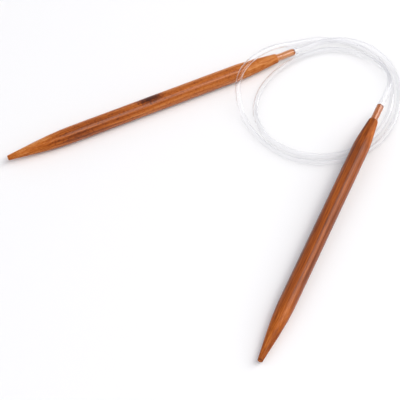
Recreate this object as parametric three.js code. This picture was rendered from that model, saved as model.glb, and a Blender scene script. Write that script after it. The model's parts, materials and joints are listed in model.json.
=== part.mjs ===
// Circular knitting needle: two 8 mm bamboo needle tips on the ends of one clear plastic tube.
// Millimetres, +Z up. The object lies on the plane z = 0, with the origin under the middle
// of the two needles. The tube lies in two and a third loose turns.
import * as THREE from "three";

// ---- driving dimensions --------------------------------------------------------------------
const BARREL_RADIUS = 4.0; // an 8 mm needle
const NEEDLE_LENGTH = 150; // from the point to the end of the stem
const SHOULDER_AT = 140; // from the point; the wood turns down to the stem here
const FRONT_TAPER = 34; // length of the taper behind the point
const POINT_RADIUS = 1.25; // of the blunt, rounded point
const POINT_FLAT_RADIUS = 0.6;
const SHOULDER_RADIUS = 2.25;
const SHOULDER_CHAMFER = 0.25;
const STEM_RADIUS = 1.15;
const BARB_RADIUS = 1.25; // the low ridge near the stem's end that grips the tube
const BARB_LENGTH = 1.4;
const BARB_FROM_END = 3; // from the ridge's front to the stem's end
const BARB_RAMP = 1;
const NOSE_LENGTH = 0.6; // the stem's rounded end
const LEFT_BACK_TAPER = 21; // the two needles are sanded by hand and differ a little
const RIGHT_BACK_TAPER = 15;
const NEEDLE_SIDES = 40;

const TUBE_RADIUS = 1.4;
const TUBE_BORE = 0.9;
const SLEEVE_RADIUS = 1.75; // the tube's end is stretched over the stem
const SLEEVE_BORE = 1.45;
const SEAT_GAP = 0.3; // between the tube's end and the shoulder
const SLEEVE_NECK_AT = 150.6; // past the stem's end the tube narrows to its own size
const SLEEVE_NECK_LENGTH = 2.2;
const BORE_NECK_AT = 150.4;
const BORE_NECK_LENGTH = 1.8;
const SLEEVE_SIDES = 24;
const TUBE_SIDES = 8;
const TUBE_STEPS = 80;

const SLEEVE_END_AT = 153.6; // the tube's own end length stops here
const CABLE_STARTS_AT = 154.8; // and the free tube starts here, past the bending point

// Where each needle lies: its point, its heading about +Z, and how far it tips up.
const FLAT_HEIGHT = BARREL_RADIUS * Math.cos(Math.PI / NEEDLE_SIDES);
const RIGHT_TILT = 2.2; // degrees: its far end rests on the tube
const RIGHT_CONTACT_AT = 32; // its barrel touches the surface here
const LEFT = { x: -87.6, y: 22.5, z: FLAT_HEIGHT, heading: 25.45, tilt: 0 };
const RIGHT = {
  x: 28.0,
  y: -87.2,
  z: FLAT_HEIGHT - RIGHT_CONTACT_AT * Math.sin(THREE.MathUtils.degToRad(RIGHT_TILT)),
  heading: 66.7,
  tilt: RIGHT_TILT,
};

// The free tube's route, chosen by hand: out of the left needle, over the second turn, once
// round on the outside, over the left needle's cone, once round on the inside, under the
// right needle, and up into the right needle from behind.
const ROUTE = [
  [60.4, 92.1, 4.5], [72.4, 93.2, 4.8], [83.8, 89.6, 4.0], [92.6, 82.0, 2.0],
  [96.6, 70.9, 1.5], [96.7, 57.9, 1.5], [93.2, 45.0, 1.5], [85.3, 32.8, 1.5],
  [73.0, 24.4, 1.5], [58.8, 21.6, 1.5], [45.0, 24.1, 1.5], [33.0, 32.0, 1.6],
  [24.5, 43.6, 2.1], [20.4, 55.7, 5.0], [21.0, 67.8, 9.2], [27.4, 77.6, 10.2],
  [36.4, 85.4, 8.4], [47.0, 92.1, 3.6], [59.9, 96.3, 1.6], [73.4, 94.4, 1.5],
  [84.8, 87.2, 1.5], [92.0, 76.4, 1.5], [93.6, 63.4, 1.5], [91.0, 49.8, 1.5],
  [83.6, 37.0, 1.5], [71.8, 28.2, 1.5], [58.0, 25.3, 1.5], [44.8, 28.2, 1.5],
  [33.8, 36.4, 1.5], [28.4, 49.0, 1.5], [29.9, 62.2, 1.5], [37.2, 74.4, 1.5],
  [48.4, 84.2, 1.5], [61.4, 89.6, 1.5], [74.0, 89.2, 1.6], [84.4, 83.0, 2.9],
  [90.8, 73.6, 6.4], [92.2, 63.6, 8.7],
];

// ---- materials -----------------------------------------------------------------------------
const bamboo = () => new THREE.MeshStandardMaterial({ color: 0xb0622f, roughness: 0.35, metalness: 0 });
const clearPlastic = () => new THREE.MeshStandardMaterial({ color: 0xe8eaf0, roughness: 0.1, metalness: 0 });

// ---- placing along a needle ----------------------------------------------------------------
function directionOf(needle) {
  const heading = THREE.MathUtils.degToRad(needle.heading);
  const tilt = THREE.MathUtils.degToRad(needle.tilt);
  const flat = Math.cos(tilt);
  return new THREE.Vector3(Math.cos(heading) * flat, Math.sin(heading) * flat, Math.sin(tilt));
}

function pointAlong(needle, distance) {
  const start = new THREE.Vector3(needle.x, needle.y, needle.z);
  return start.addScaledVector(directionOf(needle), distance);
}

// A group whose +X runs along the needle from its point, with its +Z in a vertical plane.
function needleGroup(needle) {
  const group = new THREE.Group();
  group.position.set(needle.x, needle.y, needle.z);
  group.rotation.set(0, -THREE.MathUtils.degToRad(needle.tilt), THREE.MathUtils.degToRad(needle.heading), "ZYX");
  return group;
}

// A solid of revolution about +X from [distance, radius] pairs, with a flat side facing down.
function turned(profile, sides) {
  const points = profile.map(([distance, radius]) => new THREE.Vector2(radius, distance));
  const geometry = new THREE.LatheGeometry(points, sides, Math.PI / sides);
  geometry.rotateZ(-Math.PI / 2);
  return geometry;
}

// ---- needles -------------------------------------------------------------------------------
function frontRadius(distance) {
  const share = distance / FRONT_TAPER;
  const smooth = share * share * (3 - 2 * share);
  const rounded = Math.sin((share * Math.PI) / 2);
  return POINT_RADIUS + (BARREL_RADIUS - POINT_RADIUS) * (0.45 * smooth + 0.55 * rounded);
}

function backRadius(distance, taper) {
  const share = (distance - (SHOULDER_AT - taper)) / taper;
  return BARREL_RADIUS - (BARREL_RADIUS - SHOULDER_RADIUS) * share ** 1.2;
}

function needleSolid(backTaper) {
  const profile = [[0, 0], [0, POINT_FLAT_RADIUS]];
  for (const angle of [30, 60]) {
    const turn = THREE.MathUtils.degToRad(angle);
    const reach = (POINT_RADIUS - POINT_FLAT_RADIUS) * Math.sin(turn);
    profile.push([POINT_RADIUS * (1 - Math.cos(turn)), POINT_FLAT_RADIUS + reach]);
  }
  for (const distance of [1.5, 4, 8, 12, 16, 20, 24, 28, 31, FRONT_TAPER]) {
    profile.push([distance, frontRadius(distance)]);
  }
  const taperStart = SHOULDER_AT - backTaper;
  const taperSteps = 6;
  for (let i = 0; i < taperSteps; i += 1) {
    const distance = taperStart + (i * (backTaper - SHOULDER_CHAMFER)) / (taperSteps - 1);
    profile.push([distance, backRadius(distance, backTaper)]);
  }
  profile.push([SHOULDER_AT, SHOULDER_RADIUS - SHOULDER_CHAMFER]);
  profile.push([SHOULDER_AT, STEM_RADIUS]);
  const barbStart = NEEDLE_LENGTH - BARB_FROM_END;
  profile.push([barbStart - BARB_RAMP, STEM_RADIUS], [barbStart, BARB_RADIUS]);
  profile.push([barbStart + BARB_LENGTH, BARB_RADIUS]);
  profile.push([NEEDLE_LENGTH - NOSE_LENGTH, STEM_RADIUS - 0.15]);
  profile.push([NEEDLE_LENGTH, STEM_RADIUS - NOSE_LENGTH], [NEEDLE_LENGTH, 0]);
  return turned(profile, NEEDLE_SIDES);
}

// ---- the tube's ends, stretched over the stems ------------------------------------------------
function tubeEndSolid() {
  const start = SHOULDER_AT + SEAT_GAP;
  return turned([
    [start, SLEEVE_BORE],
    [start, SLEEVE_RADIUS],
    [SLEEVE_NECK_AT, SLEEVE_RADIUS],
    [SLEEVE_NECK_AT + SLEEVE_NECK_LENGTH, TUBE_RADIUS],
    [SLEEVE_END_AT, TUBE_RADIUS],
    [SLEEVE_END_AT, TUBE_BORE],
    [BORE_NECK_AT + BORE_NECK_LENGTH, TUBE_BORE],
    [BORE_NECK_AT, SLEEVE_BORE],
    [start, SLEEVE_BORE],
  ], SLEEVE_SIDES);
}

// ---- the free tube ---------------------------------------------------------------------------
function cableSolid() {
  const route = [
    pointAlong(LEFT, CABLE_STARTS_AT),
    ...ROUTE.map((point) => new THREE.Vector3(...point)),
    pointAlong(RIGHT, CABLE_STARTS_AT),
  ];
  const section = new THREE.Shape();
  for (let i = 0; i < TUBE_SIDES; i += 1) {
    const angle = ((i + 0.5) * 2 * Math.PI) / TUBE_SIDES;
    const x = TUBE_RADIUS * Math.cos(angle);
    const y = TUBE_RADIUS * Math.sin(angle);
    if (i === 0) section.moveTo(x, y);
    else section.lineTo(x, y);
  }
  section.closePath();
  const path = new THREE.CatmullRomCurve3(route, false, "centripetal");
  path.arcLengthDivisions = 2000;
  return new THREE.ExtrudeGeometry(section, { steps: TUBE_STEPS, extrudePath: path, bevelEnabled: false });
}

// ---- the object ------------------------------------------------------------------------------
function named(name, geometry, material) {
  const mesh = new THREE.Mesh(geometry, material);
  mesh.name = name;
  return mesh;
}

const leftSide = needleGroup(LEFT);
leftSide.add(named("left_needle", needleSolid(LEFT_BACK_TAPER), bamboo()));
leftSide.add(named("left_tube_end", tubeEndSolid(), clearPlastic()));

const rightSide = needleGroup(RIGHT);
rightSide.add(named("right_needle", needleSolid(RIGHT_BACK_TAPER), bamboo()));
rightSide.add(named("right_tube_end", tubeEndSolid(), clearPlastic()));

const circularNeedle = new THREE.Group();
circularNeedle.add(leftSide, rightSide, named("cable_tube", cableSolid(), clearPlastic()));

export default circularNeedle;
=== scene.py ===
import json
import math

import bmesh
import bpy
from mathutils import Matrix, Vector


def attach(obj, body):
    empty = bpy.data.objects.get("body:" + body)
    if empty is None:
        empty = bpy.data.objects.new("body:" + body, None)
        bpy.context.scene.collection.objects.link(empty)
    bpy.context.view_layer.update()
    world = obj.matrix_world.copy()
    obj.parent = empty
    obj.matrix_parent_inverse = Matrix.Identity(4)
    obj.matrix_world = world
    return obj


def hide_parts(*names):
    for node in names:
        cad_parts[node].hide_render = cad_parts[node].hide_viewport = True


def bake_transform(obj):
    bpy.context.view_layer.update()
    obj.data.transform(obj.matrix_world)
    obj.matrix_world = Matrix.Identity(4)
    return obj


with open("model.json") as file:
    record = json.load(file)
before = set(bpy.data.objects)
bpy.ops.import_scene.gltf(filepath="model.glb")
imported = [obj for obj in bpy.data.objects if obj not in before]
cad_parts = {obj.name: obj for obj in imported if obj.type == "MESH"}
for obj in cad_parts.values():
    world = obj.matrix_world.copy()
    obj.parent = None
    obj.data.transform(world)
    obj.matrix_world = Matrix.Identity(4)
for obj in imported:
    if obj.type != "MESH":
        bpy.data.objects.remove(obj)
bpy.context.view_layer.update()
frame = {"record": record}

# ---- camera ------------------------------------------------------------------------------------
# It looks down from the front, from just under a metre away, through a long lens.
CAMERA_ELEVATION = math.radians(54.3)
CAMERA_DISTANCE = 0.976
CAMERA_AIM = Vector((0.0019, 0.0013, 0.0))

camera = bpy.data.objects.new("camera", bpy.data.cameras.new("camera"))
bpy.context.scene.collection.objects.link(camera)
camera_back = Vector((0, -math.cos(CAMERA_ELEVATION), math.sin(CAMERA_ELEVATION)))
camera.location = CAMERA_AIM + camera_back * CAMERA_DISTANCE
camera.rotation_euler = (math.pi / 2 - CAMERA_ELEVATION, 0, 0)
camera.data.sensor_width = 36
camera.data.lens = 190.3
camera.data.clip_start = 0.01
camera.data.clip_end = 20
bpy.context.scene.camera = camera


# ---- clear tube ----------------------------------------------------------------------------------
# The tube is one length of clear, hollow extruded plastic, 2.8 mm across with a 0.5 mm wall.
# It is stiff enough to lie in wide loose turns, and it is held only by being pushed over the
# needles' stems.
TUBE_RADIUS = 0.0014
TUBE_WALL = 0.0005
RING_CORNERS = 32
RING_STEP = 0.0008
SEAM_GAP = 0.00001  # between the free length and the tube's end lengths
END_REACH = 0.008  # how far an end length goes along the free route
JOINT_SLOT = 1  # the tube's material slots, after the loose plastic's
BORE_SLOT = 2
STRETCHED_SLOT = 3

# The free route, between the bending places beside the two needles.
CABLE_ROUTE = [
    (0.0604, 0.0921, 0.0045), (0.0724, 0.0932, 0.0048), (0.0838, 0.0896, 0.0040),
    (0.0926, 0.0820, 0.0020), (0.0966, 0.0709, 0.0015), (0.0967, 0.0579, 0.0015),
    (0.0932, 0.0450, 0.0015), (0.0853, 0.0328, 0.0015), (0.0730, 0.0244, 0.0015),
    (0.0588, 0.0216, 0.0015), (0.0450, 0.0241, 0.0015), (0.0330, 0.0320, 0.0016),
    (0.0245, 0.0436, 0.0021), (0.0204, 0.0557, 0.0050), (0.0210, 0.0678, 0.0092),
    (0.0274, 0.0776, 0.0102), (0.0364, 0.0854, 0.0084), (0.0470, 0.0921, 0.0036),
    (0.0599, 0.0963, 0.0016), (0.0734, 0.0944, 0.0015), (0.0848, 0.0872, 0.0015),
    (0.0920, 0.0764, 0.0015), (0.0936, 0.0634, 0.0015), (0.0910, 0.0498, 0.0015),
    (0.0836, 0.0370, 0.0015), (0.0718, 0.0282, 0.0015), (0.0580, 0.0253, 0.0015),
    (0.0448, 0.0282, 0.0015), (0.0338, 0.0364, 0.0015), (0.0284, 0.0490, 0.0015),
    (0.0299, 0.0622, 0.0015), (0.0372, 0.0744, 0.0015), (0.0484, 0.0842, 0.0015),
    (0.0614, 0.0896, 0.0015), (0.0740, 0.0892, 0.0016), (0.0844, 0.0830, 0.0029),
    (0.0908, 0.0736, 0.0064), (0.0922, 0.0636, 0.0087),
]

# Distances along a needle from its point.
NEEDLE_LENGTH = 0.150
SHOULDER_AT = 0.140
CABLE_STARTS_AT = 0.1548

mounts = {mount["name"]: mount for mount in frame["record"]["mounts"]}


def needle_frame(mount_name):
    """The turn and place of a needle: its +X runs from the point, its +Z stays upright."""
    mount = mounts[mount_name]
    along = -Vector(mount["axis"]).normalized()
    side = Vector((0, 0, 1)).cross(along).normalized()
    turn = Matrix((along, side, along.cross(side))).transposed().to_4x4()
    return Matrix.Translation(Vector(mount["pos_m"])) @ turn


left_frame = needle_frame("left_point")
right_frame = needle_frame("right_point")


def on_needle(place, distance):
    return place @ Vector((distance, 0, 0))


def smooth_route(points, steps=24):
    """Points on a centripetal Catmull-Rom curve through the given ones."""
    first = 2 * points[0] - points[1]
    last = 2 * points[-1] - points[-2]
    ends = [first, *points, last]
    line = []
    for p0, p1, p2, p3 in zip(ends, ends[1:], ends[2:], ends[3:]):
        t1 = (p1 - p0).length ** 0.5
        t2 = t1 + (p2 - p1).length ** 0.5
        t3 = t2 + (p3 - p2).length ** 0.5
        for step in range(steps):
            t = t1 + (t2 - t1) * step / steps
            a1 = p0.lerp(p1, t / t1)
            a2 = p1.lerp(p2, (t - t1) / (t2 - t1))
            a3 = p2.lerp(p3, (t - t2) / (t3 - t2))
            b1 = a1.lerp(a2, t / t2)
            b2 = a2.lerp(a3, (t - t1) / (t3 - t1))
            line.append(b1.lerp(b2, (t - t1) / (t2 - t1)))
    line.append(points[-1])
    return line


def evenly(line, start, end, step):
    """Points a step apart along a line, from one length along it to another."""
    lengths = [0.0]
    for a, b in zip(line, line[1:]):
        lengths.append(lengths[-1] + (b - a).length)
    count = max(2, round((end - start) / step))
    spaced, i = [], 0
    for k in range(count + 1):
        want = start + (end - start) * k / count
        while i < len(line) - 2 and lengths[i + 1] < want:
            i += 1
        share = (want - lengths[i]) / (lengths[i + 1] - lengths[i])
        spaced.append(line[i].lerp(line[i + 1], share))
    return spaced


def line_length(line):
    return sum((b - a).length for a, b in zip(line, line[1:]))


def made_mesh(source):
    """The mesh that an object shows, with its modifiers applied. The object is removed."""
    shown = source.evaluated_get(bpy.context.evaluated_depsgraph_get())
    mesh = bpy.data.meshes.new_from_object(shown)
    bpy.data.objects.remove(source)
    return mesh


def placed(name, data):
    piece = bpy.data.objects.new(name, data)
    bpy.context.scene.collection.objects.link(piece)
    return piece


def hollow_tube(name, points, radii):
    """A hollow tube that follows the points, closed at both ends, with a wall of one thickness."""
    curve = bpy.data.curves.new(name, "CURVE")
    curve.dimensions = "3D"
    curve.bevel_depth = 1.0
    curve.bevel_resolution = RING_CORNERS // 2 - 2
    spline = curve.splines.new("POLY")
    spline.points.add(len(points) - 1)
    for spot, point, radius in zip(spline.points, points, radii):
        spot.co = (*point, 1)
        spot.radius = radius
    mesh = made_mesh(placed(name, curve))
    shell = bmesh.new()
    shell.from_mesh(mesh)
    bmesh.ops.remove_doubles(shell, verts=shell.verts, dist=1e-7)
    bmesh.ops.recalc_face_normals(shell, faces=shell.faces)
    shell.to_mesh(mesh)
    shell.free()
    for surface in (loose_plastic, hidden_joint, bore_plastic, stretched_plastic):
        mesh.materials.append(surface)
    tube = placed(name, mesh)
    wall = tube.modifiers.new("wall", "SOLIDIFY")
    wall.thickness = TUBE_WALL
    wall.offset = -1
    wall.material_offset = BORE_SLOT
    wall.material_offset_rim = JOINT_SLOT
    mesh = made_mesh(tube)
    mesh.name = name
    mesh.shade_smooth()
    mesh.set_sharp_from_angle(angle=math.radians(50))
    return placed(name, mesh)


def add_node(tree, kind, inputs=None, **settings):
    """Adds a shader node. Inputs are values or the output sockets that feed them."""
    made = tree.nodes.new("ShaderNode" + kind)
    for key, value in settings.items():
        setattr(made, key, value)
    for key, value in (inputs or {}).items():
        if isinstance(value, bpy.types.NodeSocket):
            tree.links.new(value, made.inputs[key])
        else:
            made.inputs[key].default_value = value
    return made


def new_material(name):
    """A material with an empty node tree, and its output node."""
    material = bpy.data.materials.new(name)
    material.use_nodes = True
    material.node_tree.nodes.clear()
    return material, add_node(material.node_tree, "OutputMaterial")


# Bands of slant, from 0 where the wall is seen face on to 1 at its edge.
# In the first band the wall's grey is partly its own absorption and partly painted shade.
GREY_AND_SHADE_BAND = (0.6, 0.92)  # its colour turns grey
SHEEN_BAND = (0.22, 0.42)  # its gloss sets in
SHADE_BAND = (0.45, 0.95)  # it dims the light that falls through
EDGE_SHADE = 0.45  # the light that its edge lets through


def clear_plastic(name, bending, clear, edge_grey_and_shade, side_gloss, face_gloss, coat_bending):
    """Clear plastic. Its wall is a little grey, and a little blue, where it is seen at a slant: partly
    its own absorption and partly painted shade. It mirrors what lies beside it there. The light
    that falls through it is dimmed too, which gives it a soft shadow. clear and edge_grey_and_shade
    are its colour face on and at the edge; the glosses are its coat's, likewise."""
    material, output = new_material(name)
    tree = material.node_tree
    slant = add_node(tree, "LayerWeight", {"Blend": 0.5})
    back = add_node(tree, "NewGeometry")
    # Painted shade, with the wall's own absorption: the colour turns grey and a little blue towards the
    # edge.
    grey_and_shade_tint = add_node(tree, "ValToRGB", {"Fac": slant.outputs["Facing"]})
    grey_and_shade_tint.color_ramp.elements[0].position = GREY_AND_SHADE_BAND[0]
    grey_and_shade_tint.color_ramp.elements[0].color = (clear, clear, min(1, clear * 1.012), 1)
    grey_and_shade_tint.color_ramp.elements[1].position = GREY_AND_SHADE_BAND[1]
    grey_and_shade_tint.color_ramp.elements[1].color = (edge_grey_and_shade, edge_grey_and_shade, min(1, edge_grey_and_shade * 1.06), 1)
    sheen = add_node(tree, "MapRange", {0: slant.outputs["Facing"], 1: SHEEN_BAND[0], 2: SHEEN_BAND[1],
                                        3: face_gloss, 4: side_gloss})
    front_sheen = add_node(tree, "Mix", {0: back.outputs["Backfacing"], 2: sheen.outputs[0], 3: 0.0})
    plastic = add_node(tree, "BsdfPrincipled", {
        "Base Color": grey_and_shade_tint.outputs["Color"],
        "Roughness": 0.0,
        "IOR": bending,
        "Transmission Weight": 1.0,
        "Coat Weight": front_sheen.outputs[0],
        "Coat Roughness": 0.06,
        "Coat IOR": coat_bending,
    })
    shade = add_node(tree, "MapRange", {0: slant.outputs["Facing"], 1: SHADE_BAND[0], 2: SHADE_BAND[1],
                                        3: clear, 4: EDGE_SHADE})
    see_through = add_node(tree, "BsdfTransparent", {"Color": shade.outputs[0]})
    path = add_node(tree, "LightPath")
    passing = add_node(tree, "Math", {0: path.outputs["Is Shadow Ray"], 1: path.outputs["Is Diffuse Ray"]},
                       operation="MAXIMUM")
    surface = add_node(tree, "MixShader", {0: passing.outputs[0], 1: plastic.outputs[0],
                                           2: see_through.outputs[0]})
    tree.links.new(surface.outputs[0], output.inputs["Surface"])
    return material


# Each plastic's edge grey is partly painted shade.
loose_plastic = clear_plastic("clear_plastic", bending=1.04, clear=0.985, edge_grey_and_shade=0.42,
                              side_gloss=1.0, face_gloss=0.08, coat_bending=4.0)
bore_plastic = clear_plastic("clear_plastic_bore", bending=1.04, clear=1.0, edge_grey_and_shade=0.9,
                             side_gloss=0.3, face_gloss=0.1, coat_bending=1.5)
stretched_plastic = clear_plastic("stretched_clear_plastic", bending=1.48, clear=0.997, edge_grey_and_shade=0.85,
                                  side_gloss=1.0, face_gloss=1.0, coat_bending=1.5)

# The tube is modelled in three lengths; the faces where they meet don't show.
hidden_joint, output = new_material("hidden_joint")
unseen = add_node(hidden_joint.node_tree, "BsdfPrincipled", {"Alpha": 0.0, "Roughness": 0.5})
hidden_joint.node_tree.links.new(unseen.outputs[0], output.inputs["Surface"])

cable_start = on_needle(left_frame, CABLE_STARTS_AT)
cable_end = on_needle(right_frame, CABLE_STARTS_AT)
route = smooth_route([cable_start, *map(Vector, CABLE_ROUTE), cable_end])
route_length = line_length(route)

cable_path = evenly(route, END_REACH, route_length - END_REACH, RING_STEP)
cable = hollow_tube("cable_tube_wall", cable_path, [TUBE_RADIUS] * len(cable_path))
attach(cable, "cable")
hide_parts("cable_tube")


# ---- tube ends -----------------------------------------------------------------------------------
# The last centimetre of the tube at each end is stretched over the needle's stem up to the wood's
# shoulder. The wood's barb and the plastic's own grip hold it; just past the stem it bends.
SLEEVE_RADIUS = 0.00175
SLEEVE_NECK_AT = 0.1502
SLEEVE_NECK_LENGTH = 0.0026
STRETCHED_TO = SLEEVE_NECK_AT + 0.001  # the plastic over the stem is stretched up to here
SEAT_GAP = 0.00002  # between the tube and the wood's shoulder


def sleeve_radius(distance):
    share = min(1, max(0, (distance - SLEEVE_NECK_AT) / SLEEVE_NECK_LENGTH))
    return SLEEVE_RADIUS + (TUBE_RADIUS - SLEEVE_RADIUS) * share * share * (3 - 2 * share)


def tube_end(side, place, free_line):
    """The tube's end length, from the wood's shoulder through the bending place."""
    straight = [on_needle(place, SHOULDER_AT), on_needle(place, CABLE_STARTS_AT)]
    line = straight + free_line[1:]
    reach = CABLE_STARTS_AT - SHOULDER_AT + END_REACH - SEAM_GAP
    points = evenly(line, SEAT_GAP, reach, RING_STEP / 2)
    first = SHOULDER_AT + SEAT_GAP
    spacing = (reach - SEAT_GAP) / (len(points) - 1)
    radii = [sleeve_radius(first + i * spacing) for i in range(len(points))]
    piece = hollow_tube(side + "_tube_end_wall", points, radii)
    to_needle = place.inverted()
    for face in piece.data.polygons:
        if face.material_index != JOINT_SLOT and (to_needle @ face.center).x < STRETCHED_TO:
            face.material_index = STRETCHED_SLOT
    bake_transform(piece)
    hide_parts(side + "_tube_end")
    return piece


left_end = tube_end("left", left_frame, evenly(route, 0, END_REACH * 2, RING_STEP / 4))
right_end = tube_end("right", right_frame, evenly(route[::-1], 0, END_REACH * 2, RING_STEP / 4))


# ---- needles -------------------------------------------------------------------------------------
# Each needle is one stick of carbonised bamboo, turned to 8 mm, sanded to a point at one end and
# down to a thin barbed stem at the other, and lacquered. The fibres run along it.
BARREL_RADIUS = 0.004
FRONT_TAPER = 0.034
POINT_RADIUS = 0.0012
POINT_FLAT = 0.0009
POINT_ROUNDING = 0.0006  # how far back the point's edge is rounded
SHOULDER_RADIUS = 0.00225
SHOULDER_CHAMFER = 0.00012
STEM_RADIUS = 0.00128
STEM_FILLET = 0.0001
BARB_RADIUS = 0.00132
BARB_RAMP = (0.1455, 0.1468)  # the stem swells to the barb between these distances
BARB_END = 0.1484
STEM_NOSE = 0.0012  # length of the stem's rounded end
BACK_TAPER = {"left": 0.021, "right": 0.017}
NEEDLE_CORNERS = 96


def front_radius(distance):
    share = distance / FRONT_TAPER
    smooth = share * share * (3 - 2 * share)
    rounded = math.sin(share * math.pi / 2)
    return POINT_RADIUS + (BARREL_RADIUS - POINT_RADIUS) * (0.2 * smooth + 0.8 * rounded)


def back_radius(distance, taper):
    share = max(0, (distance - (SHOULDER_AT - taper)) / taper)
    return BARREL_RADIUS - (BARREL_RADIUS - SHOULDER_RADIUS) * share ** 1.2


def needle_outline(taper):
    """The needle's outline as (distance from the point, radius) pairs, from axis to axis."""
    outline = [(0, 0), (0, POINT_FLAT * 0.5), (0, POINT_FLAT)]
    blunt = front_radius(POINT_ROUNDING) - POINT_FLAT
    for k in range(1, 6):
        turn = k / 6 * math.pi / 2
        outline.append((POINT_ROUNDING * (1 - math.cos(turn)), POINT_FLAT + blunt * math.sin(turn)))
    for k in range(41):
        distance = POINT_ROUNDING + (FRONT_TAPER - POINT_ROUNDING) * k / 40
        outline.append((distance, front_radius(distance)))
    for k in range(1, 13):
        distance = FRONT_TAPER + (SHOULDER_AT - taper - FRONT_TAPER) * k / 12
        outline.append((distance, BARREL_RADIUS))
    end = SHOULDER_AT - SHOULDER_CHAMFER
    for k in range(1, 21):
        distance = SHOULDER_AT - taper + (end - SHOULDER_AT + taper) * k / 20
        outline.append((distance, back_radius(distance, taper)))
    outline.append((SHOULDER_AT, SHOULDER_RADIUS - SHOULDER_CHAMFER))
    outline.append((SHOULDER_AT, STEM_RADIUS + STEM_FILLET))
    outline.append((SHOULDER_AT + STEM_FILLET, STEM_RADIUS))
    outline.append((BARB_RAMP[0], STEM_RADIUS))
    outline.append((BARB_RAMP[1], BARB_RADIUS))
    outline.append((BARB_END, BARB_RADIUS))
    nose_at = NEEDLE_LENGTH - STEM_NOSE
    for k in range(1, 7):
        turn = k / 6 * math.pi / 2
        outline.append((nose_at + STEM_NOSE * math.sin(turn), BARB_RADIUS * math.cos(turn) ** 0.7))
    outline[-1] = (NEEDLE_LENGTH, 0)
    return outline


def turned(name, outline, place, corners):
    """A solid turned from its outline, put in its place."""
    lathe = bmesh.new()
    spots = [lathe.verts.new((distance, 0, radius)) for distance, radius in outline]
    edges = [lathe.edges.new(pair) for pair in zip(spots, spots[1:])]
    bmesh.ops.spin(lathe, geom=spots + edges, cent=(0, 0, 0), axis=(1, 0, 0),
                   angle=2 * math.pi, steps=corners, use_merge=True, use_duplicate=False)
    bmesh.ops.remove_doubles(lathe, verts=lathe.verts, dist=1e-7)
    bmesh.ops.recalc_face_normals(lathe, faces=lathe.faces)
    bmesh.ops.transform(lathe, matrix=place, verts=lathe.verts)
    mesh = bpy.data.meshes.new(name)
    lathe.to_mesh(mesh)
    lathe.free()
    mesh.shade_smooth()
    mesh.set_sharp_from_angle(angle=math.radians(50))
    return placed(name, mesh)


def bamboo_grain():
    """Colour, roughness, gloss and relief of lacquered bamboo whose fibres run along X."""
    group = bpy.data.node_groups.new("bamboo_grain", "ShaderNodeTree")
    group.interface.new_socket(name="Vector", in_out="INPUT", socket_type="NodeSocketVector")
    for name in ("Stick", "Sanded", "Tone", "Painted Side Shade", "Darkening"):
        group.interface.new_socket(name=name, in_out="INPUT", socket_type="NodeSocketFloat")
    group.interface.new_socket(name="Color", in_out="OUTPUT", socket_type="NodeSocketColor")
    for name in ("Roughness", "Gloss", "Height"):
        group.interface.new_socket(name=name, in_out="OUTPUT", socket_type="NodeSocketFloat")
    start = group.nodes.new("NodeGroupInput")
    end = group.nodes.new("NodeGroupOutput")

    def noise(along, across, **settings):
        scale = {0: start.outputs["Vector"], 1: (along, across, across)}
        laid = add_node(group, "VectorMath", scale, operation="MULTIPLY")
        seeded = {"Vector": laid.outputs[0], "W": start.outputs["Stick"], "Scale": 1.0, **settings}
        return add_node(group, "TexNoise", seeded, noise_dimensions="4D").outputs[0]

    def times_plus(value, factor, rest):
        sum_of = {0: value, 1: factor, 2: rest}
        return add_node(group, "Math", sum_of, operation="MULTIPLY_ADD").outputs[0]

    drift = noise(12, 230, Detail=1.0)
    streak = noise(17, 1000, Detail=3.0, Roughness=0.6)
    fibre = noise(120, 3300, Detail=3.0, Roughness=0.6)
    across = add_node(group, "SeparateXYZ", {0: start.outputs["Vector"]}).outputs[1]
    # Painted shade: one side of the needle is made darker, as if lit from the other.
    tone = times_plus(across, start.outputs["Painted Side Shade"], start.outputs["Tone"])
    tone = times_plus(drift, 0.7, tone)
    tone = times_plus(streak, 1.15, tone)
    tone = times_plus(fibre, 0.75, tone)
    tone = times_plus(start.outputs["Sanded"], 0.13, tone)
    tone = add_node(group, "Math", {0: tone, 1: start.outputs["Darkening"]}, operation="SUBTRACT").outputs[0]
    colour = add_node(group, "ValToRGB", {"Fac": tone})
    stops = (
        (0.00, (0.060, 0.010, 0.001)), (0.25, (0.180, 0.034, 0.002)), (0.45, (0.320, 0.070, 0.005)),
        (0.60, (0.420, 0.108, 0.012)), (0.80, (0.530, 0.180, 0.042)), (1.00, (0.650, 0.285, 0.105)),
    )
    for _ in stops[2:]:
        colour.color_ramp.elements.new(0.5)
    for element, (position, shade) in zip(colour.color_ramp.elements, stops):
        element.position = position
        element.color = (*shade, 1)
    rough = add_node(group, "MapRange", {0: start.outputs["Sanded"], 3: 0.32, 4: 0.48})
    rough = times_plus(fibre, 0.2, rough.outputs[0])
    gloss = add_node(group, "MapRange", {0: start.outputs["Sanded"], 3: 0.36, 4: 0.1})
    group.links.new(colour.outputs[0], end.inputs["Color"])
    group.links.new(rough, end.inputs["Roughness"])
    group.links.new(gloss.outputs[0], end.inputs["Gloss"])
    group.links.new(times_plus(streak, 0.5, fibre), end.inputs["Height"])
    return group


grain = bamboo_grain()


FRONT_SANDED = FRONT_TAPER - 0.016  # the sanding shows fully from here to the point
BACK_SANDING = (-0.002, 0.005)  # and it sets in between these, from the back taper's start

# How much darker the needle is drawn at its ends, or lighter below zero: from one distance to
# another, and how much at each. The point's and the stem's tones are the wood's own; the
# darkening at the stem's end is painted shade.
END_TONES_AND_SHADE = (
    (0.00004, 0.0001, -0.35, 0.0),  # the point's flat, which is pale end grain
    (0.0002, 0.0010, 0.25, 0.0),  # the edge around it
    (0.1399, 0.1402, 0.0, -0.2),  # the stem
    # painted shade: the stem's rounded end is drawn darker, as if in shadow inside the tube
    (BARB_END, 0.1494, 0.0, 0.45),  # the stem's end
)


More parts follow.
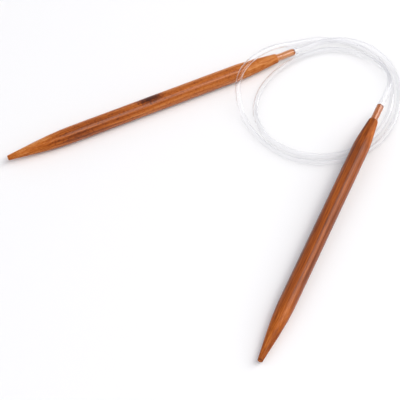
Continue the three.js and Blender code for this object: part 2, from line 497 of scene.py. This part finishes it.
def bamboo(side, place, stick, tone, painted_side_shade):
    """Lacquered bamboo, with its pattern laid along one needle. stick tells the two sticks' grain
    apart, and painted_side_shade is how much darker it gets across the needle: painted shade, one
    side darker as if lit from the other. It also returns the laid pattern's node and the node whose
    second input takes a further darkening."""
    material, output = new_material(side + "_bamboo")
    tree = material.node_tree
    to_needle = place.inverted()
    coords = add_node(tree, "TexCoord")
    laid = add_node(tree, "Mapping", {"Vector": coords.outputs["Object"],
                                      "Location": to_needle.to_translation(),
                                      "Rotation": to_needle.to_euler()})
    distance = add_node(tree, "SeparateXYZ", {0: laid.outputs[0]}).outputs[0]
    front = add_node(tree, "MapRange", {0: distance, 1: FRONT_TAPER, 2: FRONT_SANDED})
    back_start = SHOULDER_AT - BACK_TAPER[side]
    back = add_node(tree, "MapRange", {0: distance, 1: back_start + BACK_SANDING[0],
                                       2: back_start + BACK_SANDING[1]})
    sanded = add_node(tree, "Math", {0: front.outputs[0], 1: back.outputs[0]}, operation="MAXIMUM")
    wood = tree.nodes.new("ShaderNodeGroup")
    wood.node_tree = grain
    wood.inputs["Stick"].default_value = stick
    wood.inputs["Tone"].default_value = tone
    wood.inputs["Painted Side Shade"].default_value = painted_side_shade
    tree.links.new(laid.outputs[0], wood.inputs["Vector"])
    tree.links.new(sanded.outputs[0], wood.inputs["Sanded"])
    darkening = 0.0
    # The end tones are added here, with the painted shade at the stem's end.
    for start, stop, at_start, at_stop in END_TONES_AND_SHADE:
        end_tone_and_shade = add_node(tree, "MapRange", {0: distance, 1: start, 2: stop, 3: at_start, 4: at_stop})
        darkening = add_node(tree, "Math", {0: darkening, 1: end_tone_and_shade.outputs[0]}, operation="ADD").outputs[0]
    all_darkening = add_node(tree, "Math", {0: darkening, 1: 0.0}, operation="ADD")
    tree.links.new(all_darkening.outputs[0], wood.inputs["Darkening"])
    relief = add_node(tree, "Bump", {"Strength": 0.15, "Distance": 0.00008,
                                     "Height": wood.outputs["Height"]})
    shader = add_node(tree, "BsdfPrincipled", {
        "Base Color": wood.outputs["Color"],
        "Roughness": wood.outputs["Roughness"],
        "IOR": 1.5,
        "Specular IOR Level": 0.2,
        "Specular Tint": (1.0, 0.78, 0.6, 1),
        "Coat Weight": wood.outputs["Gloss"],
        "Coat Roughness": 0.16,
        "Coat IOR": 1.5,
        "Normal": relief.outputs[0],
    })
    tree.links.new(shader.outputs[0], output.inputs["Surface"])
    return material, laid, all_darkening


# The side shade is painted shade: one side of each needle darker, as if lit from the other.
left_bamboo, laid, left_darkening = bamboo("left", left_frame, stick=3.3, tone=-0.68, painted_side_shade=26)
right_bamboo, _, _ = bamboo("right", right_frame, stick=4.3, tone=-1.02, painted_side_shade=-12)

# The left needle's barrel crosses one of the cane's nodes, where the fibres are dark and knotted.
NODE_AT = Vector((0.0732, 0.0014, 0.0040))
NODE_SIZE = Vector((0.0088, 0.0036, 0.0036))
NODE_BURN = 0.72
tree = left_bamboo.node_tree
knot_place = add_node(tree, "Mapping", {"Vector": laid.outputs[0], "Location": NODE_AT,
                                        "Scale": NODE_SIZE}, vector_type="TEXTURE")
knots = add_node(tree, "TexNoise", {"Vector": laid.outputs[0], "Scale": 900.0, "Detail": 3.0})
knot_shape = add_node(tree, "TexGradient", {"Vector": knot_place.outputs[0]}, gradient_type="SPHERICAL")
ragged = add_node(tree, "Math", {0: knots.outputs[0], 1: 0.9, 2: -0.45}, operation="MULTIPLY_ADD")
ragged = add_node(tree, "Math", {0: knot_shape.outputs["Fac"], 1: ragged.outputs[0]}, operation="ADD")
darkening = add_node(tree, "MapRange", {0: ragged.outputs[0], 1: 0.0, 2: 0.75, 3: 0.0, 4: NODE_BURN})
tree.links.new(darkening.outputs[0], left_darkening.inputs[1])

sides = (("left", left_frame, left_bamboo), ("right", right_frame, right_bamboo))
for side, place, material in sides:
    needle = turned(side + "_needle_wood", needle_outline(BACK_TAPER[side]), place, NEEDLE_CORNERS)
    needle.data.materials.append(material)
    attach(needle, side + "_tip")
    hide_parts(side + "_needle")


# ---- floor and light -----------------------------------------------------------------------------
# A pale seamless table with softboxes on the right and overhead, and a wide weak one on the left.
FLOOR_SIZE = 6.0
FLOOR_DROP = 0.00002  # just under the object
sheet = bmesh.new()
bmesh.ops.create_grid(sheet, x_segments=1, y_segments=1, size=FLOOR_SIZE / 2)
mesh = bpy.data.meshes.new("floor")
sheet.to_mesh(mesh)
sheet.free()
floor = placed("floor", mesh)
floor.location.z = -FLOOR_DROP
table, output = new_material("table")
matt = add_node(table.node_tree, "BsdfDiffuse", {"Color": (0.87, 0.87, 0.87, 1)})
table.node_tree.links.new(matt.outputs[0], output.inputs["Surface"])
floor.data.materials.append(table)


def softbox(name, direction, distance, size, power, colour=(1, 1, 1)):
    """A square area light that faces the middle of the object."""
    light = bpy.data.lights.new(name, "AREA")
    light.shape = "SQUARE"
    light.size = size
    light.energy = power
    light.color = colour
    box = bpy.data.objects.new(name, light)
    aim = Vector(direction).normalized()
    box.location = aim * distance
    box.rotation_euler = aim.to_track_quat("Z", "Y").to_euler()
    bpy.context.scene.collection.objects.link(box)


WARM_WHITE = (1.0, 0.99, 0.96)
softbox("key", (0.77, 0.22, 0.60), distance=1.7, size=1.3, power=15.5, colour=WARM_WHITE)
softbox("overhead", (0.36, -0.19, 0.91), distance=2.0, size=1.1, power=15.0, colour=WARM_WHITE)
softbox("fill", (-0.65, -0.35, 0.67), distance=2.0, size=2.0, power=8.5)

world = bpy.data.worlds.new("world")
world.use_nodes = True
sky = world.node_tree
sky.nodes.clear()
direction = add_node(sky, "TexCoord")
height = add_node(sky, "SeparateXYZ", {0: direction.outputs["Generated"]})
fade = add_node(sky, "MapRange", {0: height.outputs[2], 1: 0.0, 2: 0.5, 3: 0.64, 4: 0.50})
glow = add_node(sky, "Background", {"Color": (0.92, 0.92, 1.0, 1), "Strength": fade.outputs[0]})
end = add_node(sky, "OutputWorld")
sky.links.new(glow.outputs[0], end.inputs["Surface"])
bpy.context.scene.world = world
bpy.context.scene.view_settings.view_transform = "Standard"
